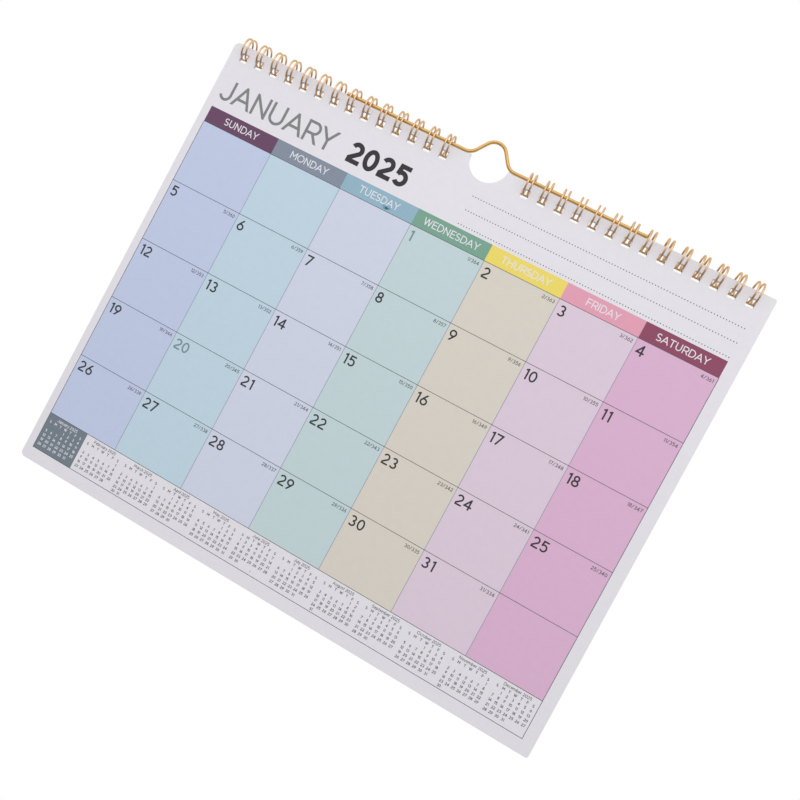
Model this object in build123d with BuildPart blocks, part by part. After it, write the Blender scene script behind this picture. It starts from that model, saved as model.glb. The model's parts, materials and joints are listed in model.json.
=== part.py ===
from build123d import *
import os
from math import cos, degrees, radians, sin, sqrt, tan

# Wall calendar with a twin-loop wire binding and a wire hanger, in millimetres.
# It hangs upright: +Z is up, +X runs along the binding and the printed face looks toward -Y.
# The origin is where a nail carries it, inside the top of the hanger's hump.

# Pages. The punching isn't quite in the middle of the sheet: its centre is at x = 0.
page_width = 279.4
page_height = 230.0
pages_thickness = 2.0
page_middle_x = 0.9
left_corner_radius = 2.6
right_corner_radius = 1.2
thumb_cut_radius = 9.6

# Punched holes, one for each pair of wire legs, with some left out for the hump of the hanger
inch = 25.4
holes_per_inch = 3
hole_width = 4.0
hole_height = 4.4
hole_edge_distance = 3.7
least_side_margin = 6.0
positions_left_free = 4

# Twin-loop wire
ring_radius = 5.2
wire_radius = 0.5
wire_sides = 6
leg_spacing = 2.3
leg_steps = 9
tip_steps = 3
tip_angle = 38
spine_angle = 20
spine_bend = 0.7
ring_axis_below_page_top = 1.2

# Hanger
hanger_wire_radius = 0.85
hanger_arm_reach = 77.3
hump_rise = 9.4
hump_slope_angle = 54
hump_top_radius = 5.8
hump_foot_radius = 4.0
hanger_below_page_top = 0.35
hanger_clearance = 0.3

# Number and places of the holes that follow
hole_pitch = inch / holes_per_inch
positions_across = int((page_width - 2 * least_side_margin) / hole_pitch) + 1
positions_bound_each_side = int((positions_across - positions_left_free) / 2)
first_position_x = -(positions_across - 1) / 2 * hole_pitch
bound_width = (positions_bound_each_side - 1) * hole_pitch
left_middle_x = first_position_x + bound_width / 2

# Heights and depths that follow
arm_z = hanger_wire_radius - hump_rise
page_top_z = arm_z + hanger_below_page_top
ring_axis_z = page_top_z - ring_axis_below_page_top
arm_circle = ring_radius - wire_radius - hanger_wire_radius - hanger_clearance
ring_axis_y = sqrt(arm_circle**2 - (arm_z - ring_axis_z) ** 2)
half_leg_spacing = leg_spacing / 2
leg_start = spine_angle - degrees(spine_bend / ring_radius)
leg_end = tip_angle - 360
leg_step = (leg_end - leg_start) / leg_steps
# The corners of the route lie a little outside the true ring, so that its straight runs cross it
corner_radius = ring_radius * (1 + 1 / cos(radians(leg_step / 2))) / 2


# Point on the cylinder that the wire is rolled round: angle 0 is its bottom, 90 its back
def ring_point(x, angle):
    return (
        x,
        ring_axis_y + corner_radius * sin(radians(angle)),
        ring_axis_z - corner_radius * cos(radians(angle)),
    )


# Route of one twin loop, from the middle of one spine run to the middle of the next. Its legs
# leave the spine behind the pages, come out through the hole and go up the front and over.
def twin_loop_route():
    leg_angles = [leg_start + leg_step * i for i in range(leg_steps + 1)]
    left = [ring_point(-hole_pitch / 2, spine_angle)]
    left.append(ring_point(-half_leg_spacing - spine_bend, spine_angle))
    left += [ring_point(-half_leg_spacing, angle) for angle in leg_angles]
    tip = []
    for i in range(1, tip_steps):
        turn = radians(180 * i / tip_steps)
        ahead = degrees(half_leg_spacing * sin(turn) / ring_radius)
        tip.append(ring_point(-half_leg_spacing * cos(turn), leg_end - ahead))
    right = [(-x, y, z) for x, y, z in reversed(left)]
    return left + tip + right


# Pages: one block of leaves with the punched holes and the thumb cut in its top edge
with BuildPart() as pages:
    with BuildSketch(Plane.XZ.offset(-ring_axis_y)):
        with Locations((page_middle_x, page_top_z)):
            Rectangle(page_width, page_height, align=(Align.CENTER, Align.MAX))
        fillet(vertices().group_by(Axis.X)[0], radius=left_corner_radius)
        fillet(vertices().group_by(Axis.X)[-1], radius=right_corner_radius)
        with Locations((0, page_top_z)):
            Circle(thumb_cut_radius, mode=Mode.SUBTRACT)
        with Locations((0, page_top_z - hole_edge_distance - hole_height / 2)):
            for middle_x in (left_middle_x, -left_middle_x):
                with Locations((middle_x, 0)):
                    with GridLocations(hole_pitch, 0, positions_bound_each_side, 1):
                        Rectangle(hole_width, hole_height, mode=Mode.SUBTRACT)
    extrude(amount=pages_thickness / 2, both=True)
pages.part.label = "pages"

# Twin-loop wire: one loop swept along its route, repeated at the pitch of the holes
with BuildPart() as twin_loop:
    with BuildLine():
        route = Polyline(*twin_loop_route())
    with BuildSketch(Plane(origin=route @ 0, z_dir=route % 0)):
        RegularPolygon(wire_radius, wire_sides)
    sweep(transition=Transition.RIGHT)


# Half of the binding: one continuous wire
def binding(middle_x):
    with BuildPart() as half:
        with Locations((middle_x, 0, 0)):
            with GridLocations(hole_pitch, 0, positions_bound_each_side, 1):
                add(twin_loop.part)
    return half


wire_binding_left = binding(left_middle_x)
wire_binding_left.part.label = "wire_binding_left"
wire_binding_right = binding(-left_middle_x)
wire_binding_right.part.label = "wire_binding_right"

# Hanger: a straight wire through the middle loops, bent up into a hump over the thumb cut
slope = radians(hump_slope_angle)
hump_peak = hump_rise + hump_top_radius * (1 / cos(slope) - 1)
hump_foot_x = hump_peak / tan(slope)
with BuildPart() as hanger:
    with BuildLine(Plane.XZ):
        wire_line = FilletPolyline(
            (-hanger_arm_reach, arm_z),
            (-hump_foot_x, arm_z),
            (0, arm_z + hump_peak),
            (hump_foot_x, arm_z),
            (hanger_arm_reach, arm_z),
            radius=[hump_foot_radius, hump_top_radius, hump_foot_radius],
        )
    with BuildSketch(Plane(origin=wire_line @ 0, z_dir=wire_line % 0)):
        Circle(hanger_wire_radius)
    sweep()
hanger.part.label = "hanger"

os.makedirs("parts", exist_ok=True)
export_step(pages.part, "parts/pages.step")
export_step(wire_binding_left.part, "parts/wire_binding_left.step")
export_step(wire_binding_right.part, "parts/wire_binding_right.step")
export_step(hanger.part, "parts/hanger.step")
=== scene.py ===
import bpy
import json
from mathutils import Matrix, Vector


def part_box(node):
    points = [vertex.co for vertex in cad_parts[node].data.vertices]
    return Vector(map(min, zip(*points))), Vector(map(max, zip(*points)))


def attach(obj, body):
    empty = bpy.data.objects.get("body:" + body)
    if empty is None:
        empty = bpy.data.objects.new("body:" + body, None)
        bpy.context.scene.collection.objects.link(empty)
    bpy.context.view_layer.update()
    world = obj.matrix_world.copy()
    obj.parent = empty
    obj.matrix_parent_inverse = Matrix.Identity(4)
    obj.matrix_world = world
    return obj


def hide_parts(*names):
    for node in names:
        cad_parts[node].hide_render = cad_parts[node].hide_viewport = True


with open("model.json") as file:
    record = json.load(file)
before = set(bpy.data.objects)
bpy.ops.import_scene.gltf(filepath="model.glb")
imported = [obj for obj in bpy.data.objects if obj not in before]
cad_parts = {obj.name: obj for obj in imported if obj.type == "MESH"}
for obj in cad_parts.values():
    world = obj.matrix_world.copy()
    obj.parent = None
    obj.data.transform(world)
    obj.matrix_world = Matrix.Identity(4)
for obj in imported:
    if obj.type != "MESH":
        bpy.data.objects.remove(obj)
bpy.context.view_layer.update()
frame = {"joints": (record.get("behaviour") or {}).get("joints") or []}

import calendar
import json
import math

import bpy
from mathutils import Matrix, Vector
from mathutils.geometry import delaunay_2d_cdt

MM = 0.001

# Outline points nearer to each other than this are one
same_point = 1e-7

# Places taken from the frame
page_low, page_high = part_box("pages")
comb_low, comb_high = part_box("wire_binding_left")
hanger_low, hanger_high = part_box("hanger")
joint_place = {joint["name"]: Vector(joint["pos_m"]) for joint in frame["joints"]}
ring_axis = joint_place["page_turn"]
arm_axis = joint_place["hanger_swing"]
page_front = page_low.y
page_top = page_high.z
page_left = page_low.x
page_width = page_high.x - page_low.x
page_height = page_high.z - page_low.z

# Leaves
leaf_count = 13
leaf_pitch = (page_high.y - page_low.y) / leaf_count
leaf_thickness = 0.13 * MM
leaf_slip = 0.07 * MM
thumb_cut_radius = 9.6 * MM
hole_width = 4.0 * MM
hole_height = 4.4 * MM
hole_corner_radius = 0.5 * MM
hole_edge_distance = 3.7 * MM
hole_middle = page_top - hole_edge_distance - hole_height / 2
left_corner_radius = 2.6 * MM
right_corner_radius = 1.2 * MM

# Twin-loop wire
loops_per_side = 14
loop_pitch = (comb_high.x - comb_low.x) / loops_per_side
first_loop = comb_low.x + loop_pitch / 2
ring_radius = 5.2 * MM
wire_radius = 0.45 * MM
wire_sides = 12
half_leg_spacing = 1.15 * MM
spine_angle = 20
spine_bend = 0.7 * MM
tip_angle = 38

# Hanger
hanger_wire_radius = (hanger_high.y - hanger_low.y) / 2
hanger_wire_sides = 24
hanger_burr = 0.25 * MM
hanger_end_thickness = 0.75
hanger_left_reach = -hanger_low.x - 1.9 * MM
hanger_right_reach = hanger_high.x + 1.1 * MM
hump_rise = hanger_high.z - hanger_low.z - 2 * hanger_wire_radius
hump_slope = math.radians(54)
hump_top_radius = 5.8 * MM
hump_foot_radius = 6.0 * MM

# Printed page. A film is the thickness of one layer of ink.
grid_left = page_left + 4.1 * MM
column_width = 38.46 * MM
columns = 7
grid_right = grid_left + columns * column_width
bar_height = 8.3 * MM
cells_top = page_top - 41.7 * MM
row_height = 32.51 * MM
rows = 5
strip_top = cells_top - rows * row_height
strip_height = 19.1 * MM
strip_bottom = strip_top - strip_height
strip_months = 12
strip_month_width = columns * column_width / strip_months
line_width = 0.26 * MM
film = 0.012 * MM
note_line_rows = 3
note_line_step = 7.15 * MM
note_line_left = grid_left + 135.1 * MM
note_line_top = page_top - 17.35 * MM
dot_pitch = 1.406 * MM
dot_radius = 0.27 * MM

# Dates
year = 2025
shown_month = 1
days_in_year = 365
slate_days = (1, 20)
weeks_from_sunday = calendar.Calendar(firstweekday=6)

# Lettering: cap height, weight of the strokes and gap between the letters
month_lettering = (10.75 * MM, 1.35 * MM, 0.48 * MM)
year_lettering = (10.75 * MM, 2.25 * MM, 1.0 * MM)
weekday_lettering = (3.6 * MM, 0.45 * MM, 0.22 * MM)
number_lettering = (5.3 * MM, 0.78 * MM, 0.75 * MM)
count_lettering = (1.75 * MM, 0.25 * MM, 0.2 * MM)
title_lettering = (1.5 * MM, 0.2 * MM, 0.15 * MM)
date_lettering = (1.36 * MM, 0.23 * MM, 0.1 * MM)


def linear(hex_colour):
    """Turns an sRGB hex colour into linear RGBA."""
    channels = [int(hex_colour[i : i + 2], 16) / 255 for i in (1, 3, 5)]
    return (*[c / 12.92 if c <= 0.04045 else ((c + 0.055) / 1.055) ** 2.4 for c in channels], 1.0)


def add_node(tree, kind, inputs=(), **settings):
    """Adds one node with its settings, and its inputs as values or as links. An input is given
    by name, or by number where several share a name: 6 and 7 are the colours of a Mix node,
    2 and 3 the whole numbers of a Compare node."""
    node = tree.nodes.new(kind)
    for name, value in settings.items():
        setattr(node, name, value)
    for key, value in dict(inputs).items():
        if isinstance(value, bpy.types.NodeSocket):
            tree.links.new(value, node.inputs[key])
        else:
            node.inputs[key].default_value = value
    return node


def new_material(name):
    """Returns a material, its tree, its Principled shader and its Object coordinates."""
    material = bpy.data.materials.new(name)
    material.use_nodes = True
    tree = material.node_tree
    tree.nodes.clear()
    shader = add_node(tree, "ShaderNodeBsdfPrincipled")
    add_node(tree, "ShaderNodeOutputMaterial", {"Surface": shader.outputs["BSDF"]})
    place = add_node(tree, "ShaderNodeTexCoord")
    return material, tree, shader, place.outputs["Object"]


def printed_paper(name, hex_colour, roughness=0.86):
    """Uncoated wove paper, bare or offset printed: the fibres lie flat and felted, so it is
    matt with a faint cloudiness, and the ink sinks in and keeps the paper's fine tooth."""
    material, tree, shader, place = new_material(name)
    cloud_size, fibre_size, tooth_size, tooth_height = 3.0 * MM, 0.5 * MM, 0.12 * MM, 0.01 * MM
    cloud = add_node(tree, "ShaderNodeTexNoise",
                     {"Vector": place, "Scale": 1 / cloud_size, "Detail": 3, "Roughness": 0.6})
    fibre = add_node(tree, "ShaderNodeTexNoise",
                     {"Vector": place, "Scale": 1 / fibre_size, "Detail": 4, "Distortion": 1.5})
    both = add_node(tree, "ShaderNodeMath", {0: cloud.outputs["Fac"], 1: fibre.outputs["Fac"]},
                    operation="ADD")
    shade = add_node(tree, "ShaderNodeMapRange",
                     {"Value": both.outputs[0], "From Min": 0.6, "From Max": 1.4,
                      "To Min": 0.975, "To Max": 1.02})
    tinted = add_node(tree, "ShaderNodeVectorMath",
                      {0: linear(hex_colour)[:3], "Scale": shade.outputs["Result"]},
                      operation="SCALE")
    tooth = add_node(tree, "ShaderNodeTexNoise",
                     {"Vector": place, "Scale": 1 / tooth_size, "Detail": 2})
    relief = add_node(tree, "ShaderNodeMath",
                      {0: tooth.outputs["Fac"], 1: fibre.outputs["Fac"]}, operation="ADD")
    bump = add_node(tree, "ShaderNodeBump",
                    {"Height": relief.outputs[0], "Strength": 0.25, "Distance": tooth_height})
    tree.links.new(tinted.outputs["Vector"], shader.inputs["Base Color"])
    tree.links.new(bump.outputs["Normal"], shader.inputs["Normal"])
    shader.inputs["Roughness"].default_value = roughness
    return material


def plated_wire(name, bright, shaded, edge, roughness, hole_shade_factor=1.0):
    """Steel wire, drawn through a die and plated in a gold tone: a satin metal with slightly
    uneven plating and faint streaks. Its colour can be scaled darker towards the holes, as
    painted shade. It keeps its gold tone at a flat angle too."""
    material, tree, shader, place = new_material(name)
    streak_size, streak_depth, patch_size = 0.3 * MM, 0.01 * MM, 2.5 * MM
    full_shade_height, no_shade_height = page_top - 5.6 * MM, page_top - 2.8 * MM
    stretched = add_node(tree, "ShaderNodeMapping", {"Vector": place, "Scale": (0.25, 1, 1)})
    lines = add_node(tree, "ShaderNodeTexNoise",
                     {"Vector": stretched.outputs["Vector"], "Scale": 1 / streak_size, "Detail": 3})
    patches = add_node(tree, "ShaderNodeTexNoise",
                       {"Vector": place, "Scale": 1 / patch_size, "Detail": 2})
    colour = add_node(tree, "ShaderNodeMix",
                      {"Factor": patches.outputs["Fac"], 6: linear(bright), 7: linear(shaded)},
                      data_type="RGBA")
    spot = add_node(tree, "ShaderNodeSeparateXYZ", {"Vector": place})
    # Painted shade: the colour is scaled darker low on the wire, towards the holes
    hole_shade = add_node(tree, "ShaderNodeMapRange",
                    {"Value": spot.outputs["Z"], "From Min": full_shade_height,
                     "From Max": no_shade_height, "To Min": hole_shade_factor, "To Max": 1.0},
                    interpolation_type="SMOOTHSTEP")
    hole_shaded = add_node(tree, "ShaderNodeVectorMath",
                    {0: colour.outputs[2], "Scale": hole_shade.outputs["Result"]}, operation="SCALE")
    rough = add_node(tree, "ShaderNodeMapRange",
                     {"Value": lines.outputs["Fac"], "To Min": roughness * 0.7,
                      "To Max": roughness * 1.3})
    bump = add_node(tree, "ShaderNodeBump",
                    {"Height": lines.outputs["Fac"], "Strength": 0.15, "Distance": streak_depth})
    tree.links.new(hole_shaded.outputs["Vector"], shader.inputs["Base Color"])
    tree.links.new(rough.outputs["Result"], shader.inputs["Roughness"])
    tree.links.new(bump.outputs["Normal"], shader.inputs["Normal"])
    shader.inputs["Metallic"].default_value = 1.0
    shader.inputs["Specular Tint"].default_value = linear(edge)
    return material


wove_paper = printed_paper("uncoated_wove_paper", "#e8e6ec")
# The loop wire's colour is scaled darker towards the holes, as painted shade
gold_wire = plated_wire("gold_plated_loop_wire", "#e7c8a5", "#d3af84", "#efd2aa", 0.2, hole_shade_factor=0.75)
gold_hanger_wire = plated_wire("gold_plated_hanger_wire", "#e3ba77", "#cfa264", "#efcf9c", 0.36)

# Offset inks on the same paper, so each keeps the paper's tooth and only its colour differs
weekday_bar_inks = {
    "sunday": "#6a4965",
    "monday": "#8791a1",
    "tuesday": "#95b7ca",
    "wednesday": "#7ca794",
    "thursday": "#f0dc6c",
    "friday": "#e6a2b7",
    "saturday": "#904c65",
}
day_cell_tints = {
    "sunday": "#c4cee9",
    "monday": "#c3d8e6",
    "tuesday": "#d3d8ea",
    "wednesday": "#c6d8dc",
    "thursday": "#dcd5ca",
    "friday": "#e0cede",
    "saturday": "#deb5d3",
}
month_ink = printed_paper("grey_month_ink", "#848686")
year_ink = printed_paper("charcoal_year_ink", "#373539")
number_ink = printed_paper("charcoal_number_ink", "#38393d")
slate_number_ink = printed_paper("slate_number_ink", "#7b929b")
count_ink = printed_paper("grey_count_ink", "#55565b")
line_ink = printed_paper("grey_line_ink", "#54565d")
column_ink = printed_paper("pale_column_ink", "#8f97a8")
strip_ink = printed_paper("grey_strip_ink", "#5c5a62")
block_ink = printed_paper("slate_block_ink", "#75818c")
knocked_out = printed_paper("paper_left_white", "#e8e6ec")
faint_mark = printed_paper("faint_teal_mark", "#6f9dae")
dark_mark = printed_paper("dark_teal_mark", "#46646f")
pale_mark = printed_paper("pale_grey_mark", "#cfced4")


def new_tree(name, **sockets):
    """Starts a Geometry Nodes tree with named inputs."""
    tree = bpy.data.node_groups.new(name, "GeometryNodeTree")
    tree.interface.new_socket("Geometry", in_out="INPUT", socket_type="NodeSocketGeometry")
    for socket_name, kind in sockets.items():
        label = socket_name.replace("_", " ").capitalize()
        tree.interface.new_socket(label, in_out="INPUT", socket_type="NodeSocket" + kind)
    tree.interface.new_socket("Material", in_out="INPUT", socket_type="NodeSocketMaterial")
    tree.interface.new_socket("Geometry", in_out="OUTPUT", socket_type="NodeSocketGeometry")
    return tree, tree.nodes.new("NodeGroupInput").outputs


def end_tree(tree, geometry, material):
    """Ends a tree in Realize Instances and Set Material."""
    real = add_node(tree, "GeometryNodeRealizeInstances", {"Geometry": geometry})
    painted = add_node(tree, "GeometryNodeSetMaterial",
                       {"Geometry": real.outputs["Geometry"], "Material": material})
    add_node(tree, "NodeGroupOutput", {"Geometry": painted.outputs["Geometry"]})


def grow(name, carrier, tree, material, **values):
    """Runs a tree on a carrier object and returns the plain mesh piece that comes out."""
    modifier = carrier.modifiers.new(tree.name, "NODES")
    modifier.node_group = tree
    sockets = {item.name: item.identifier for item in tree.interface.items_tree
               if item.in_out == "INPUT"}
    for value_name, value in values.items():
        modifier[sockets[value_name.replace("_", " ").capitalize()]] = value
    modifier[sockets["Material"]] = material
    bpy.context.view_layer.update()
    graph = bpy.context.evaluated_depsgraph_get()
    mesh = bpy.data.meshes.new_from_object(carrier.evaluated_get(graph))
    carrier.modifiers.remove(modifier)
    bpy.data.objects.remove(carrier)
    return shown(name, mesh)


def shown(name, mesh):
    """Puts a mesh in the scene as an object at the origin."""
    mesh.name = name
    piece = bpy.data.objects.new(name, mesh)
    bpy.context.scene.collection.objects.link(piece)
    return piece


def carrier_mesh(points=(), faces=()):
    """An object whose mesh a tree starts from."""
    mesh = bpy.data.meshes.new("carrier")
    mesh.from_pydata(list(points), [], list(faces))
    return shown("carrier", mesh)


def carrier_curve(points, radii=None):
    """An object with one open centreline that a tree starts from."""
    curve = bpy.data.curves.new("carrier", "CURVE")
    curve.dimensions = "3D"
    line = curve.splines.new("POLY")
    line.points.add(len(points) - 1)
    for i, point in enumerate(points):
        line.points[i].co = (*point, 1)
        line.points[i].radius = radii[i] if radii else 1.0
    carrier = bpy.data.objects.new("carrier", curve)
    bpy.context.scene.collection.objects.link(carrier)
    return carrier


def arc(x, y, across, up, start, end, step):
    """Points on an ellipse round (x, y), angles in degrees, 0 to the right and 90 up."""
    count = max(2, math.ceil(abs(end - start) / step))
    angles = [math.radians(start + (end - start) * i / count) for i in range(count + 1)]
    return [(x + across * math.cos(a), y + up * math.sin(a)) for a in angles]


def filleted(corners, radii, step):
    """A path through corners, each of them rounded by a tangent arc."""
    path = [Vector(corners[0])]
    for before, corner, after, radius in zip(corners, corners[1:], corners[2:], radii):
        corner = Vector(corner)
        back = (Vector(before) - corner).normalized()
        ahead = (Vector(after) - corner).normalized()
        half = back.angle(ahead) / 2
        centre = corner + (back + ahead).normalized() * radius / math.sin(half)
        start = corner + back * radius / math.tan(half) - centre
        end = corner + ahead * radius / math.tan(half) - centre
        count = math.ceil(math.degrees(start.angle(end)) / step)
        for i in range(count + 1):
            path.append(centre + start.slerp(end, i / count).normalized() * radius)
    return path + [Vector(corners[-1])]


def flat_shape(outlines, is_inside):
    """Cuts overlapping outlines, each anticlockwise as it is read, into triangles. It keeps
    those for which is_inside, given the numbers of the outlines round them, is true."""
    points, faces = [], []
    for outline in outlines:
        faces.append(list(range(len(points), len(points) + len(outline))))
        points += [Vector(point) for point in outline]
    cut_points, _, cut_faces, _, _, sources = delaunay_2d_cdt(points, [], faces, 0, same_point)
    kept = [face for face, around in zip(cut_faces, sources) if is_inside(around)]
    return [tuple(point) for point in cut_points], kept


# Leaves: thirteen punched sheets
def sheet_outline():
    """The edge of a sheet, with its rounded corners and the thumb cut. It leaves room for the
    slip at its sides and foot."""
    left = page_left + leaf_slip
    right = page_left + page_width - leaf_slip
    bottom = page_top - page_height + leaf_slip
    left_r, right_r = left_corner_radius, right_corner_radius
    edge = arc(left + left_r, bottom + left_r, left_r, left_r, 180, 270, 10)
    edge += arc(right - right_r, bottom + right_r, right_r, right_r, 270, 360, 15)
    edge += arc(right - right_r, page_top - right_r, right_r, right_r, 0, 90, 15)
    edge += arc(0, page_top, thumb_cut_radius, thumb_cut_radius, 360, 180, 5)
    edge += arc(left + left_r, page_top - left_r, left_r, left_r, 90, 180, 10)
    return edge


def hole_outline(x):
    """The edge of the punched hole at x, with rounded corners."""
    radius = hole_corner_radius
    edge = []
    for across, up, start in ((1, 1, 0), (-1, 1, 90), (-1, -1, 180), (1, -1, 270)):
        corner_x = x + across * (hole_width / 2 - radius)
        corner_z = hole_middle + up * (hole_height / 2 - radius)
        edge += arc(corner_x, corner_z, radius, radius, start, start + 90, 30)
    return edge


def flat_sheet():
    """One sheet without thickness, facing -Y, with its holes."""
    places = [first_loop + i * loop_pitch for i in range(loops_per_side)]
    holes = [hole_outline(side * x) for side in (-1, 1) for x in places]
    points, faces = flat_shape([sheet_outline()] + holes, lambda around: around == [0])
    return carrier_mesh([(x, page_front, z) for x, z in points], faces)


def leaf_stack_tree():
    """Gives a sheet its thickness and stacks copies of it, each slipped a little."""
    tree, given = new_tree("leaf_stack", leaves="Int", leaf_pitch="Float",
                           leaf_thickness="Float", slip="Float", seed="Int")
    back = add_node(tree, "ShaderNodeCombineXYZ", {"Y": given["Leaf thickness"]})
    forward = add_node(tree, "ShaderNodeVectorMath", {0: back.outputs[0], 1: (-1, -1, -1)},
                       operation="MULTIPLY")
    rear = add_node(tree, "GeometryNodeSetPosition",
                    {"Geometry": given["Geometry"], "Offset": back.outputs[0]})
    body = add_node(tree, "GeometryNodeExtrudeMesh",
                    {"Mesh": rear.outputs["Geometry"], "Offset": forward.outputs[0],
                     "Individual": False}, mode="FACES")
    turned = add_node(tree, "GeometryNodeFlipFaces", {"Mesh": rear.outputs["Geometry"]})
    whole = add_node(tree, "GeometryNodeJoinGeometry")
    tree.links.new(body.outputs["Mesh"], whole.inputs[0])
    tree.links.new(turned.outputs["Mesh"], whole.inputs[0])
    leaf = add_node(tree, "GeometryNodeMergeByDistance",
                    {"Geometry": whole.outputs[0], "Distance": 1e-6})
    pitch = add_node(tree, "ShaderNodeCombineXYZ", {"Y": given["Leaf pitch"]})
    places = add_node(tree, "GeometryNodeMeshLine",
                      {"Count": given["Leaves"], "Offset": pitch.outputs[0]})
    stack = add_node(tree, "GeometryNodeInstanceOnPoints",
                     {"Points": places.outputs["Mesh"], "Instance": leaf.outputs["Geometry"]})
    most = add_node(tree, "ShaderNodeCombineXYZ", {"X": given["Slip"], "Z": given["Slip"]})
    least = add_node(tree, "ShaderNodeVectorMath", {0: most.outputs[0], 1: (-1, -1, -1)},
                     operation="MULTIPLY")
    chance = add_node(tree, "FunctionNodeRandomValue",
                      {"Min": least.outputs[0], "Max": most.outputs[0], "Seed": given["Seed"]},
                      data_type="FLOAT_VECTOR")
    index = add_node(tree, "GeometryNodeInputIndex")
    under_first = add_node(tree, "FunctionNodeCompare", {2: index.outputs[0], 3: 0},
                           data_type="INT", operation="GREATER_THAN")
    slipped = add_node(tree, "GeometryNodeTranslateInstances",
                       {"Instances": stack.outputs["Instances"],
                        "Selection": under_first.outputs["Result"],
                        "Translation": chance.outputs["Value"]})
    end_tree(tree, slipped.outputs["Instances"], given["Material"])
    return tree


def make_leaves():
    """The block of leaves that stands for the CAD pages."""
    leaves = grow("leaves", flat_sheet(), leaf_stack_tree(), wove_paper, leaves=leaf_count,
                  leaf_pitch=leaf_pitch, leaf_thickness=leaf_thickness, slip=leaf_slip, seed=7)
    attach(leaves, "page_block")
    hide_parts("pages")


# Twin-loop wire
def on_ring(x, angle):
    """A point on the cylinder that the wire is rolled round: 0 is its bottom, 90 its back."""
    turn = math.radians(angle)
    return (x, ring_axis.y + ring_radius * math.sin(turn), ring_axis.z - ring_radius * math.cos(turn))


def loop_route():
    """The middle of the wire for one twin loop, from one spine run to the next. It comes out
    through the hole, goes up the front, over and down the back, where the loop has its tip."""
    left = [on_ring(-loop_pitch / 2, spine_angle)]
    for turn in range(0, 91, 15):
        x = spine_bend * (math.sin(math.radians(turn)) - 1) - half_leg_spacing
        drop = spine_bend * (1 - math.cos(math.radians(turn))) / ring_radius
        left.append(on_ring(x, spine_angle - math.degrees(drop)))
    start = spine_angle - math.degrees(spine_bend / ring_radius)
    end = tip_angle - 360
    steps = 56
    for i in range(1, steps + 1):
        left.append(on_ring(-half_leg_spacing, start + (end - start) * i / steps))
    tip = []
    for turn in range(15, 180, 15):
        ahead = half_leg_spacing * math.sin(math.radians(turn)) / ring_radius
        tip.append(on_ring(-half_leg_spacing * math.cos(math.radians(turn)),
                           end - math.degrees(ahead)))
    right = [(-x, y, z) for x, y, z in reversed(left)]
    return left + tip + right


def wire_comb_tree():
    """Repeats one loop's route along the binding, joins it into one line and makes it wire."""
    tree, given = new_tree("wire_comb", loops="Int", first_loop="Float", loop_pitch="Float",
                           wire_radius="Float", wire_sides="Int")
    route = add_node(tree, "GeometryNodeCurveToMesh", {"Curve": given["Geometry"]})
    start = add_node(tree, "ShaderNodeCombineXYZ", {"X": given["First loop"]})
    step = add_node(tree, "ShaderNodeCombineXYZ", {"X": given["Loop pitch"]})
    places = add_node(tree, "GeometryNodeMeshLine",
                      {"Count": given["Loops"], "Start Location": start.outputs[0],
                       "Offset": step.outputs[0]})
    loops = add_node(tree, "GeometryNodeInstanceOnPoints",
                     {"Points": places.outputs["Mesh"], "Instance": route.outputs["Mesh"]})
    real = add_node(tree, "GeometryNodeRealizeInstances", {"Geometry": loops.outputs[0]})
    joined = add_node(tree, "GeometryNodeMergeByDistance",
                      {"Geometry": real.outputs[0], "Distance": 0.01 * MM})
    line = add_node(tree, "GeometryNodeMeshToCurve", {"Mesh": joined.outputs["Geometry"]})
    section = add_node(tree, "GeometryNodeCurvePrimitiveCircle",
                       {"Resolution": given["Wire sides"], "Radius": given["Wire radius"]})
    wire = add_node(tree, "GeometryNodeCurveToMesh",
                    {"Curve": line.outputs["Curve"], "Profile Curve": section.outputs["Curve"],
                     "Fill Caps": True})
    smooth = add_node(tree, "GeometryNodeSetShadeSmooth", {"Geometry": wire.outputs["Mesh"]})
    end_tree(tree, smooth.outputs["Geometry"], given["Material"])
    return tree


def make_binding():
    """Both lengths of twin-loop wire. Their shadow is off, because the photograph shows almost
    none on the paper."""
    tree = wire_comb_tree()
    sides = {
        "wire_binding_left": first_loop,
        "wire_binding_right": -first_loop - (loops_per_side - 1) * loop_pitch,
    }
    for node, start in sides.items():
        comb = grow(node.replace("wire_binding", "twin_loop_wire"), carrier_curve(loop_route()),
                    tree, gold_wire, loops=loops_per_side, first_loop=start,
                    loop_pitch=loop_pitch, wire_radius=wire_radius, wire_sides=wire_sides)
        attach(comb, "binding")
        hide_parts(node)
        comb.visible_shadow = False


# Hanger
def bent_wire_tree():
    """Makes round wire of a centreline."""
    tree, given = new_tree("bent_wire", wire_radius="Float", wire_sides="Int")
    section = add_node(tree, "GeometryNodeCurvePrimitiveCircle",
                       {"Resolution": given["Wire sides"], "Radius": given["Wire radius"]})
    wire = add_node(tree, "GeometryNodeCurveToMesh",
                    {"Curve": given["Geometry"], "Profile Curve": section.outputs["Curve"],
                     "Fill Caps": True})
    smooth = add_node(tree, "GeometryNodeSetShadeSmooth", {"Geometry": wire.outputs["Mesh"]})
    end_tree(tree, smooth.outputs["Geometry"], given["Material"])
    return tree


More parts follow.
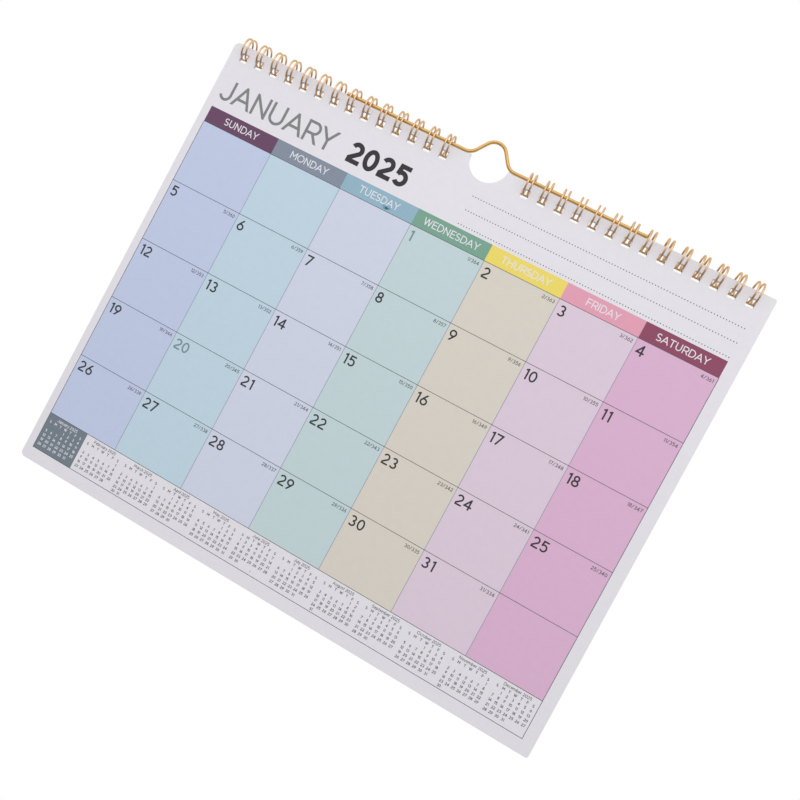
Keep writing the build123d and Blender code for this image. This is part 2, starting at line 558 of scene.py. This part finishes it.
def make_hanger():
    """The straight wire with its hump, its two cut ends deburred. It neither shades nor tints
    the paper, because the photograph shows almost no shadow there."""
    peak = hump_rise + hump_top_radius * (1 / math.cos(hump_slope) - 1)
    foot = peak / math.tan(hump_slope)
    y, z = arm_axis.y, arm_axis.z
    left, right = -hanger_left_reach, hanger_right_reach
    corners = [(left + hanger_burr, y, z), (-foot, y, z), (0, y, z + peak), (foot, y, z),
               (right - hanger_burr, y, z)]
    radii = [hump_foot_radius, hump_top_radius, hump_foot_radius]
    path = filleted(corners, radii, 4)
    path = [Vector((left, y, z))] + path + [Vector((right, y, z))]
    thickness = [hanger_end_thickness] + [1.0] * (len(path) - 2) + [hanger_end_thickness]
    hanger = grow("hanger_wire", carrier_curve(path, thickness), bent_wire_tree(),
                  gold_hanger_wire, wire_radius=hanger_wire_radius, wire_sides=hanger_wire_sides)
    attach(hanger, "hanger")
    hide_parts("hanger")
    hanger.visible_shadow = False
    hanger.visible_diffuse = False


# Print: every field, line and letter is a thin film of ink on the first leaf
def ink_piece(name, shapes, materials):
    """Makes one piece of ink. A shape is its points, its faces, how many films high it lies
    and the number of its material, and becomes a closed solid that reaches into the leaf."""
    vertices, faces, numbers = [], [], []
    for points, flat_faces, layer, number in shapes:
        front = len(vertices)
        back = front + len(points)
        vertices += [(x, page_front - layer * film, z) for x, z in points]
        vertices += [(x, page_front + film / 2, z) for x, z in points]
        edges = {(face[i - 1], face[i]) for face in flat_faces for i in range(len(face))}
        for face in flat_faces:
            faces.append([front + i for i in face])
            faces.append([back + i for i in reversed(face)])
        for a, b in sorted(edges):
            if (b, a) not in edges:
                faces.append([front + a, back + a, back + b, front + b])
        numbers += [number] * (len(faces) - len(numbers))
    mesh = bpy.data.meshes.new(name)
    mesh.from_pydata(vertices, [], faces)
    for material in materials:
        mesh.materials.append(material)
    mesh.polygons.foreach_set("material_index", numbers)
    piece = shown(name, mesh)
    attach(piece, "page_block")
    return piece


def rectangle(left, top, width, height):
    """A rectangle's points and its one face."""
    points = [(left, top), (left, top - height), (left + width, top - height), (left + width, top)]
    return points, [[0, 1, 2, 3]]


def make_fields():
    """The seven coloured columns with their bars, and the slate block of the first month."""
    bars, cells = [], []
    for i in range(columns):
        left = grid_left + i * column_width
        bars.append((*rectangle(left, cells_top + bar_height, column_width, bar_height), 1, i))
        cells.append((*rectangle(left, cells_top, column_width, rows * row_height), 1, i))
    ink_piece("weekday_bars", bars, [printed_paper("ink_bar_" + day, colour)
                                     for day, colour in weekday_bar_inks.items()])
    ink_piece("day_columns", cells, [printed_paper("ink_tint_" + day, colour)
                                     for day, colour in day_cell_tints.items()])
    block = rectangle(grid_left, strip_top, strip_month_width, strip_height)
    ink_piece("first_month_block", [(*block, 1, 0)], [block_ink])


def blot(x, z, width, height, lean):
    """An uneven round mark: its points and its one face."""
    three_lobes, five_lobes = 0.16, 0.09
    points = []
    for px, pz in arc(0, 0, 1, 1, 0, 345, 15):
        turn = math.atan2(pz, px)
        size = (1 + three_lobes * math.sin(3 * turn + lean)
                + five_lobes * math.sin(5 * turn - lean))
        points.append((x + px * size * width / 2, z + pz * size * height / 2))
    return points, [list(range(len(points)))]


def make_marks():
    """The small smear at the foot of the Tuesday bar and the faint speck in the month strip."""
    x, z = grid_left + 2.632 * column_width, cells_top + 1.6 * MM
    smear = [(*blot(x, z, 4.0 * MM, 1.7 * MM, 0.4), 2, 0),
             (*blot(x + 0.3 * MM, z - 0.1 * MM, 1.9 * MM, 1.0 * MM, 1.9), 3, 1)]
    x, z = grid_left + 3.270 * column_width, cells_top - 5.53 * row_height
    speck = [(*blot(x, z, 0.8 * MM, 1.2 * MM, 1.0), 2, 2)]
    ink_piece("small_marks", smear + speck, [faint_mark, dark_mark, pale_mark])


def ruled_lines_tree():
    """Repeats a thin bar of ink at even steps."""
    tree, given = new_tree("ruled_lines", lines="Int", first="Vector", step="Vector",
                           bar_size="Vector")
    places = add_node(tree, "GeometryNodeMeshLine",
                      {"Count": given["Lines"], "Start Location": given["First"],
                       "Offset": given["Step"]})
    bar = add_node(tree, "GeometryNodeMeshCube", {"Size": given["Bar size"]})
    lines = add_node(tree, "GeometryNodeInstanceOnPoints",
                     {"Points": places.outputs["Mesh"], "Instance": bar.outputs["Mesh"]})
    end_tree(tree, lines.outputs["Instances"], given["Material"])
    return tree


def make_lines():
    """The grid round the days and the frame of the month strip."""
    tree = ruled_lines_tree()
    middle_x = (grid_left + grid_right) / 2
    y = page_front - film / 2
    whole = cells_top - strip_bottom
    level = (grid_right - grid_left + line_width, 3 * film, line_width)
    upright = (line_width, 3 * film, rows * row_height)
    side = (line_width, 3 * film, whole)
    rules = {
        "row_lines": (line_ink, rows + 1, (middle_x, y, cells_top), (0, 0, -row_height), level),
        "column_lines": (column_ink, columns - 1,
                         (grid_left + column_width, y, (cells_top + strip_top) / 2),
                         (column_width, 0, 0), upright),
        "side_lines": (line_ink, 2, (grid_left, y, cells_top - whole / 2),
                       (columns * column_width, 0, 0), side),
        "strip_line": (line_ink, 1, (middle_x, y, strip_bottom), (0, 0, 0), level),
    }
    for name, (ink, count, first, step, size) in rules.items():
        piece = grow(name, carrier_mesh(), tree, ink, lines=count, first=first, step=step,
                     bar_size=size)
        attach(piece, "page_block")


def dotted_lines_tree():
    """Rows of round dots of ink."""
    tree, given = new_tree("dotted_lines", rows="Int", row_step="Float", dots="Int",
                           dot_pitch="Float", dot_radius="Float", depth="Float", start="Vector")
    down = add_node(tree, "ShaderNodeCombineXYZ", {"Z": given["Row step"]})
    right = add_node(tree, "ShaderNodeCombineXYZ", {"X": given["Dot pitch"]})
    starts = add_node(tree, "GeometryNodeMeshLine",
                      {"Count": given["Rows"], "Start Location": given["Start"],
                       "Offset": down.outputs[0]})
    line = add_node(tree, "GeometryNodeMeshLine",
                    {"Count": given["Dots"], "Offset": right.outputs[0]})
    rows_of = add_node(tree, "GeometryNodeInstanceOnPoints",
                       {"Points": starts.outputs["Mesh"], "Instance": line.outputs["Mesh"]})
    places = add_node(tree, "GeometryNodeRealizeInstances", {"Geometry": rows_of.outputs[0]})
    dot = add_node(tree, "GeometryNodeMeshCylinder",
                   {"Vertices": 10, "Radius": given["Dot radius"], "Depth": given["Depth"]})
    dots = add_node(tree, "GeometryNodeInstanceOnPoints",
                    {"Points": places.outputs[0], "Instance": dot.outputs["Mesh"],
                     "Rotation": (math.pi / 2, 0, 0)})
    end_tree(tree, dots.outputs["Instances"], given["Material"])
    return tree


def make_note_lines():
    """The three dotted lines for notes beside the month."""
    dots = round((grid_right - note_line_left) / dot_pitch) + 1
    piece = grow("note_lines", carrier_mesh(), dotted_lines_tree(), line_ink, rows=note_line_rows,
                 row_step=-note_line_step, dots=dots, dot_pitch=dot_pitch, dot_radius=dot_radius,
                 depth=2 * film, start=(note_line_left, page_front - film / 2, note_line_top))
    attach(piece, "page_block")


# Lettering: strokes of one width, drawn in a box one cap height high
def stroke_letters(step):
    """The middle lines of each letter's strokes, with the letter's width."""

    def bow(x, y, across, up, start, end):
        return arc(x, y, across, up, start, end, step)

    ring = bow(0.27, 0.35, 0.27, 0.35, 0, 360)
    arch = [(0, 0.4)] + bow(0.24, 0.42, 0.24, 0.28, 180, 0) + [(0.48, 0)]
    next_arch = [(x + 0.48, y) for x, y in arch]
    stem = [(0, 0), (0, 0.7)]
    return {
        "A": (0.90, [[(0, 0), (0.45, 1), (0.90, 0)], [(0.19, 0.31), (0.71, 0.31)]]),
        "D": (0.78, [[(0, 0), (0, 1)] + bow(0.30, 0.5, 0.48, 0.5, 90, -90) + [(0, 0)]]),
        "E": (0.60, [[(0.60, 1), (0, 1), (0, 0), (0.60, 0)], [(0, 0.52), (0.54, 0.52)]]),
        "F": (0.58, [[(0.58, 1), (0, 1), (0, 0)], [(0, 0.48), (0.52, 0.48)]]),
        "H": (0.76, [[(0, 0), (0, 1)], [(0.76, 0), (0.76, 1)], [(0, 0.51), (0.76, 0.51)]]),
        "I": (0.0, [[(0, 0), (0, 1)]]),
        "J": (0.56, [[(0.56, 1), (0.56, 0.33)] + bow(0.28, 0.31, 0.28, 0.31, 0, -160)]),
        "M": (0.88, [[(0, 0), (0, 1), (0.44, 0.36), (0.88, 1), (0.88, 0)]]),
        "N": (0.73, [[(0, 0), (0, 1), (0.73, 0), (0.73, 1)]]),
        "O": (1.0, [bow(0.5, 0.5, 0.5, 0.5, 90, 450)]),
        "R": (0.68, [[(0, 0), (0, 1)] + bow(0.40, 0.71, 0.28, 0.29, 90, -90)
                     + [(0, 0.42)], [(0.38, 0.42), (0.68, 0)]]),
        "S": (0.62, [bow(0.31, 0.745, 0.28, 0.255, 35, 270)
                     + bow(0.31, 0.245, 0.31, 0.245, 90, -150)[1:]]),
        "T": (0.72, [[(0, 1), (0.72, 1)], [(0.36, 1), (0.36, 0)]]),
        "U": (0.715, [[(0, 1)] + bow(0.357, 0.36, 0.357, 0.36, 180, 360) + [(0.715, 1)]]),
        "W": (1.16, [[(0, 1), (0.29, 0), (0.58, 1), (0.87, 0), (1.16, 1)]]),
        "Y": (0.74, [[(0, 1), (0.37, 0.44), (0.74, 1)], [(0.37, 0.44), (0.37, 0)]]),
        "0": (0.62, [bow(0.31, 0.5, 0.31, 0.5, 90, 450)]),
        "1": (0.24, [[(0, 0.86), (0.24, 1), (0.24, 0)]]),
        "2": (0.58, [bow(0.29, 0.71, 0.28, 0.29, 160, -38) + [(0.03, 0.14), (0.03, 0), (0.58, 0)]]),
        "3": (0.58, [bow(0.28, 0.75, 0.25, 0.25, 150, -90),
                     bow(0.28, 0.25, 0.30, 0.25, 90, -150)]),
        "4": (0.68, [[(0.50, 0), (0.50, 1), (0, 0.27), (0.68, 0.27)]]),
        "5": (0.58, [[(0.54, 1), (0.10, 1), (0.05, 0.50)],
                     bow(0.27, 0.33, 0.31, 0.33, 145, -145)]),
        "6": (0.60, [bow(0.30, 0.30, 0.30, 0.30, 0, 360), [(0.43, 1), (0.04, 0.45)]]),
        "7": (0.58, [[(0, 1), (0.58, 1), (0.18, 0)]]),
        "8": (0.58, [bow(0.29, 0.755, 0.235, 0.245, -90, 270),
                     bow(0.29, 0.255, 0.29, 0.255, 90, 450)]),
        "9": (0.60, [bow(0.30, 0.70, 0.30, 0.30, 0, 360), [(0.17, 0), (0.56, 0.55)]]),
        "/": (0.42, [[(0, -0.08), (0.42, 1.08)]]),
        "a": (0.54, [ring, [(0.54, 0), (0.54, 0.7)]]),
        "b": (0.54, [[(0, 0), (0, 1)], ring]),
        "c": (0.50, [bow(0.28, 0.35, 0.28, 0.35, 50, 310)]),
        "e": (0.54, [[(0, 0.37), (0.54, 0.37)] + bow(0.27, 0.35, 0.27, 0.35, 5, 310)]),
        "g": (0.54, [ring, [(0.54, 0.7), (0.54, -0.08)] + bow(0.27, -0.08, 0.27, 0.2, 0, -140)]),
        "h": (0.48, [[(0, 0), (0, 1)], arch]),
        "i": (0.0, [stem, [(0, 0.94), (0, 1)]]),
        "l": (0.0, [[(0, 0), (0, 1)]]),
        "m": (0.96, [stem, arch, next_arch]),
        "n": (0.48, [stem, arch]),
        "o": (0.54, [ring]),
        "p": (0.54, [[(0, -0.28), (0, 0.7)], ring]),
        "r": (0.30, [stem, bow(0.26, 0.42, 0.26, 0.28, 180, 80)]),
        "s": (0.42, [bow(0.21, 0.52, 0.19, 0.18, 35, 270)
                     + bow(0.21, 0.17, 0.21, 0.17, 90, -150)[1:]]),
        "t": (0.32, [[(0.14, 0.95), (0.14, 0)], [(0, 0.7), (0.32, 0.7)]]),
        "u": (0.50, [[(0, 0.7)] + bow(0.25, 0.27, 0.25, 0.27, 180, 360) + [(0.50, 0.7)]]),
        "v": (0.52, [[(0, 0.7), (0.26, 0), (0.52, 0.7)]]),
        "y": (0.52, [[(0, 0.7), (0.26, 0)], [(0.52, 0.7), (0.14, -0.28)]]),
        " ": (0.10, []),
    }


# Large letters have their bends in steps of 9 degrees, small ones in steps of 30
letter_tables = {"fine": stroke_letters(9), "small": stroke_letters(30)}

# Letters with an upright stroke at a side stand this share of the gap further off there
upright_on_left = "DEFHIMNRU"
upright_on_right = "HIJMNU"
upright_share = 0.9

# Foot of the long letters, baseline, top of the small letters and cap height
guide_heights = (-0.28, 0, 0.7, 1)
cut_letters = {}


def both_edges(points, half, closed, guides):
    """The right and left edges of a stroke, mitred at its bends. A free end at a guide height is
    cut level there, and one that runs level is half a stroke longer."""
    longest_mitre, level_slope = 4.0, 0.01
    count = len(points)
    pairs = []
    for i, here in enumerate(points):
        before = points[i - 1] if closed or i else None
        after = points[(i + 1) % count] if closed or i < count - 1 else None
        arriving = (here - before).normalized() if before else (after - here).normalized()
        leaving = (after - here).normalized() if after else arriving
        normal = Vector((-arriving.y - leaving.y, arriving.x + leaving.x)).normalized()
        stretch = min(longest_mitre, 1 / max(0.1, normal.dot(Vector((-arriving.y, arriving.x)))))
        pair = [here - normal * half * stretch, here + normal * half * stretch]
        if not (before and after):
            outward = -leaving if after else arriving
            if abs(outward.y) < level_slope:
                pair = [corner + outward * half for corner in pair]
            elif min(abs(here.y - guide) for guide in guides) < same_point:
                level = here.y + math.copysign(half, outward.y)
                pair = [corner + outward * (level - corner.y) / outward.y for corner in pair]
        pairs.append(pair)
    return pairs


def trimmed(corners, low, high):
    """What is left of a convex outline between two heights."""
    near = 1e-8
    for level, side in ((low, 1), (high, -1)):
        kept = []
        for a, b in zip(corners, corners[1:] + corners[:1]):
            inside, next_inside = (a.y - level) * side, (b.y - level) * side
            if inside > -near:
                kept.append(a)
            if min(inside, next_inside) < -near and max(inside, next_inside) > near:
                kept.append(a.lerp(b, inside / (inside - next_inside)))
        corners = kept
    return corners


def cut_letter(strokes, cap, weight):
    """A letter's points and faces, cut as one shape from strokes of one weight and trimmed to
    the letter's height."""
    scale, half = cap - weight, weight / 2
    lines = [[Vector(point) * scale for point in stroke] for stroke in strokes]
    heights = [point.y for line in lines for point in line]
    guides = [guide * scale for guide in guide_heights]
    least_twice_area = 1e-4 * weight * weight
    bands = []
    for line in lines:
        closed = (line[0] - line[-1]).length < same_point
        edges = both_edges(line[:-1] if closed else line, half, closed, guides)
        following = edges[1:] + edges[:1] if closed else edges[1:]
        for (right, left), (next_right, next_left) in zip(edges, following):
            for corners in ([right, next_right, next_left], [right, next_left, left]):
                band = trimmed(corners, min(heights) - half, max(heights) + half)
                twice_area = sum(a.cross(b) for a, b in zip(band, band[1:] + band[:1]))
                if twice_area > least_twice_area:
                    bands.append(band)
    return flat_shape(bands, bool)


def set_text(text, x, z, cap, weight, gap, align=0.0, letters="small", number=0):
    """Shapes of a line of text whose baseline starts, is centred or ends at (x, z)."""
    table = letter_tables[letters]
    scale = cap - weight
    left = 0.0
    places = []
    for before, letter in zip(" " + text, text):
        if letter in upright_on_left:
            left += upright_share * gap
        if before in upright_on_right:
            left += upright_share * gap
        places.append(left)
        left += table[letter][0] * scale + weight + gap
    start = x - align * (left - gap) + weight / 2
    shapes = []
    for letter, place in zip(text, places):
        key = (letters, letter, cap, weight)
        if key not in cut_letters:
            cut_letters[key] = cut_letter(table[letter][1], cap, weight)
        points, faces = cut_letters[key]
        moved = [(start + place + px, z + weight / 2 + pz) for px, pz in points]
        shapes.append((moved, faces, 2, number))
    return shapes


def make_heading():
    """The month in thin capitals and the year in bold numerals."""
    base = page_top - 28.75 * MM
    month_left, year_left = grid_left + 0.4 * MM, grid_left + 72.2 * MM
    name = calendar.month_name[shown_month].upper()
    capitals = set_text(name, month_left, base, *month_lettering, letters="fine")
    ink_piece("month_capitals", capitals, [month_ink])
    numerals = set_text(str(year), year_left, base, *year_lettering, letters="fine")
    ink_piece("year_numerals", numerals, [year_ink])


def make_weekday_names():
    """The names of the days, left white in their bars."""
    strokes = []
    base = cells_top + 2.53 * MM
    for i, day in enumerate(weekday_bar_inks):
        strokes += set_text(day.upper(), grid_left + (i + 0.5) * column_width, base,
                            *weekday_lettering, align=0.5, letters="fine")
    ink_piece("weekday_names", strokes, [knocked_out])


def make_day_numbers():
    """The numbers of the days, and the days gone and left of the year in small numerals. In
    the first month the days gone are the date."""
    number_left, number_base = 1.7 * MM, 7.3 * MM
    count_right, count_base = 1.4 * MM, 3.3 * MM
    numbers, counts = [], []
    for row, week in enumerate(weeks_from_sunday.monthdayscalendar(year, shown_month)):
        for column, day in enumerate(week):
            if not day:
                continue
            left = grid_left + column * column_width
            top = cells_top - row * row_height
            numbers += set_text(str(day), left + number_left, top - number_base,
                                *number_lettering, letters="fine", number=int(day in slate_days))
            counts += set_text(f"{day}/{days_in_year - day}", left + column_width - count_right,
                               top - count_base, *count_lettering, align=1)
    ink_piece("day_numbers", numbers, [number_ink, slate_number_ink])
    ink_piece("day_counts", counts, [count_ink])


def make_month_strip():
    """The twelve small months under the days; the first is white in its slate block. A month
    of six weeks has them closer together."""
    day_step = 2.97 * MM
    title_base = strip_top - 2.5 * MM
    initials_base = strip_top - 4.66 * MM
    strokes = []
    for i in range(strip_months):
        number = 0 if i == 0 else 1
        middle = grid_left + (i + 0.5) * strip_month_width
        title = f"{calendar.month_name[i + 1]} {year}"
        strokes += set_text(title, middle, title_base, *title_lettering, align=0.5, number=number)
        weeks = weeks_from_sunday.monthdayscalendar(year, i + 1)
        first_week, week_step = (2.26, 2.28) if len(weeks) == 6 else (2.4, 2.45)
        table = [list("SMTWTFS")] + [[str(day or "") for day in week] for week in weeks]
        for row, week in enumerate(table):
            drop = (first_week + (row - 1) * week_step) * MM if row else 0
            for column, word in enumerate(week):
                if word:
                    strokes += set_text(word, middle + (column - 3) * day_step,
                                        initials_base - drop, *date_lettering, align=0.5,
                                        number=number)
    ink_piece("small_months", strokes, [knocked_out, strip_ink])


# Studio
def look_at(thing, place, target, roll=0.0):
    """Turns a camera or lamp at place towards target, then rolls it."""
    thing.location = place
    aim = (Vector(target) - Vector(place)).to_track_quat("-Z", "Y")
    thing.rotation_mode = "QUATERNION"
    thing.rotation_quaternion = aim @ Matrix.Rotation(roll, 3, "Z").to_quaternion()


def make_camera():
    """The photograph's view: close in front of the page, rolled so that the binding falls."""
    data = bpy.data.cameras.new("camera")
    data.sensor_width = 36
    data.lens = 36
    data.shift_x = 0.05
    data.shift_y = -0.03
    data.clip_start = 0.01
    camera = bpy.data.objects.new("camera", data)
    bpy.context.scene.collection.objects.link(camera)
    place = (0.05100, -0.36757, -0.11537)
    target = (-0.00658, page_front, -0.12391)
    look_at(camera, place, target, roll=math.radians(28.14))
    bpy.context.scene.camera = camera


def make_soft_box():
    """One very large soft box above the camera, aimed at the middle of the page. The metal
    doesn't mirror it."""
    data = bpy.data.lights.new("soft_box", "AREA")
    data.shape = "RECTANGLE"
    data.size = 1.1
    data.size_y = 0.9
    data.energy = 3.1
    lamp = bpy.data.objects.new("soft_box", data)
    bpy.context.scene.collection.objects.link(lamp)
    lamp.visible_glossy = False
    look_at(lamp, (0.042, -0.4, 0.468), (page_low + page_high) / 2)


def make_world():
    """White behind the object, where the metal sees it too, and a plain even level on it."""
    level, white = 0.70, 1.0
    world = bpy.data.worlds.new("studio")
    bpy.context.scene.world = world
    world.use_nodes = True
    tree = world.node_tree
    tree.nodes.clear()
    ray = add_node(tree, "ShaderNodeLightPath")
    mirrored = add_node(tree, "ShaderNodeMath", {0: ray.outputs["Is Glossy Ray"],
                                                 1: ray.outputs["Is Transmission Ray"]},
                        operation="MAXIMUM")
    seen = add_node(tree, "ShaderNodeMath", {0: ray.outputs["Is Camera Ray"],
                                             1: mirrored.outputs[0]}, operation="MAXIMUM")
    strength = add_node(tree, "ShaderNodeMix", {"Factor": seen.outputs[0], "A": level, "B": white})
    light = add_node(tree, "ShaderNodeBackground", {"Color": linear("#ffffff"),
                                                    "Strength": strength.outputs[0]})
    add_node(tree, "ShaderNodeOutputWorld", {"Surface": light.outputs["Background"]})


def make_graded_card():
    """A large graded card in front of the object and under it, which only glossy rays see:
    bright at its top, dark at its foot, so that the wire gets its highlight and darker underside."""
    side, front, top, foot, back = 2.5, -1.7, 1.9, -0.72, 0.3
    bright_height, dark_strength, bright_strength = 0.6, 0.4, 1.5
    corners = [(-side, front, top), (side, front, top), (side, front, foot), (-side, front, foot),
               (side, back, foot), (-side, back, foot)]
    mesh = bpy.data.meshes.new("graded_card")
    mesh.from_pydata(corners, [], [(0, 1, 2, 3), (3, 2, 4, 5)])
    card = shown("graded_card", mesh)
    material = bpy.data.materials.new("graded_card_paper")
    material.use_nodes = True
    tree = material.node_tree
    tree.nodes.clear()
    place = add_node(tree, "ShaderNodeTexCoord")
    spot = add_node(tree, "ShaderNodeSeparateXYZ", {"Vector": place.outputs["Object"]})
    grade = add_node(tree, "ShaderNodeMapRange",
                     {"Value": spot.outputs["Z"], "From Min": foot, "From Max": bright_height,
                      "To Min": dark_strength, "To Max": bright_strength})
    glow = add_node(tree, "ShaderNodeEmission", {"Strength": grade.outputs["Result"]})
    add_node(tree, "ShaderNodeOutputMaterial", {"Surface": glow.outputs["Emission"]})
    material.cycles.emission_sampling = "NONE"
    mesh.materials.append(material)
    card.visible_camera = False
    card.visible_diffuse = False
    card.visible_transmission = False
    card.visible_shadow = False


def make_floor():
    """A plain pale floor, below what the camera sees."""
    height = -0.75
    corners = [(-1.2, -1.4, height), (1.2, -1.4, height), (1.2, 0.35, height), (-1.2, 0.35, height)]
    mesh = bpy.data.meshes.new("floor")
    mesh.from_pydata(corners, [], [(0, 1, 2, 3)])
    floor = shown("floor", mesh)
    material, tree, shader, place = new_material("matt_pale_floor")
    tone = add_node(tree, "ShaderNodeTexNoise", {"Vector": place, "Scale": 6.0})
    shade = add_node(tree, "ShaderNodeMix",
                     {"Factor": tone.outputs["Fac"], 6: linear("#efefef"), 7: linear("#f4f4f4")},
                     data_type="RGBA")
    tree.links.new(shade.outputs[2], shader.inputs["Base Color"])
    shader.inputs["Roughness"].default_value = 0.7
    mesh.materials.append(material)


make_leaves()
make_binding()
make_hanger()
make_fields()
make_lines()
make_note_lines()
make_marks()
make_heading()
make_weekday_names()
make_day_numbers()
make_month_strip()
make_camera()
make_soft_box()
make_world()
make_graded_card()
make_floor()
bpy.context.scene.view_settings.view_transform = "Standard"
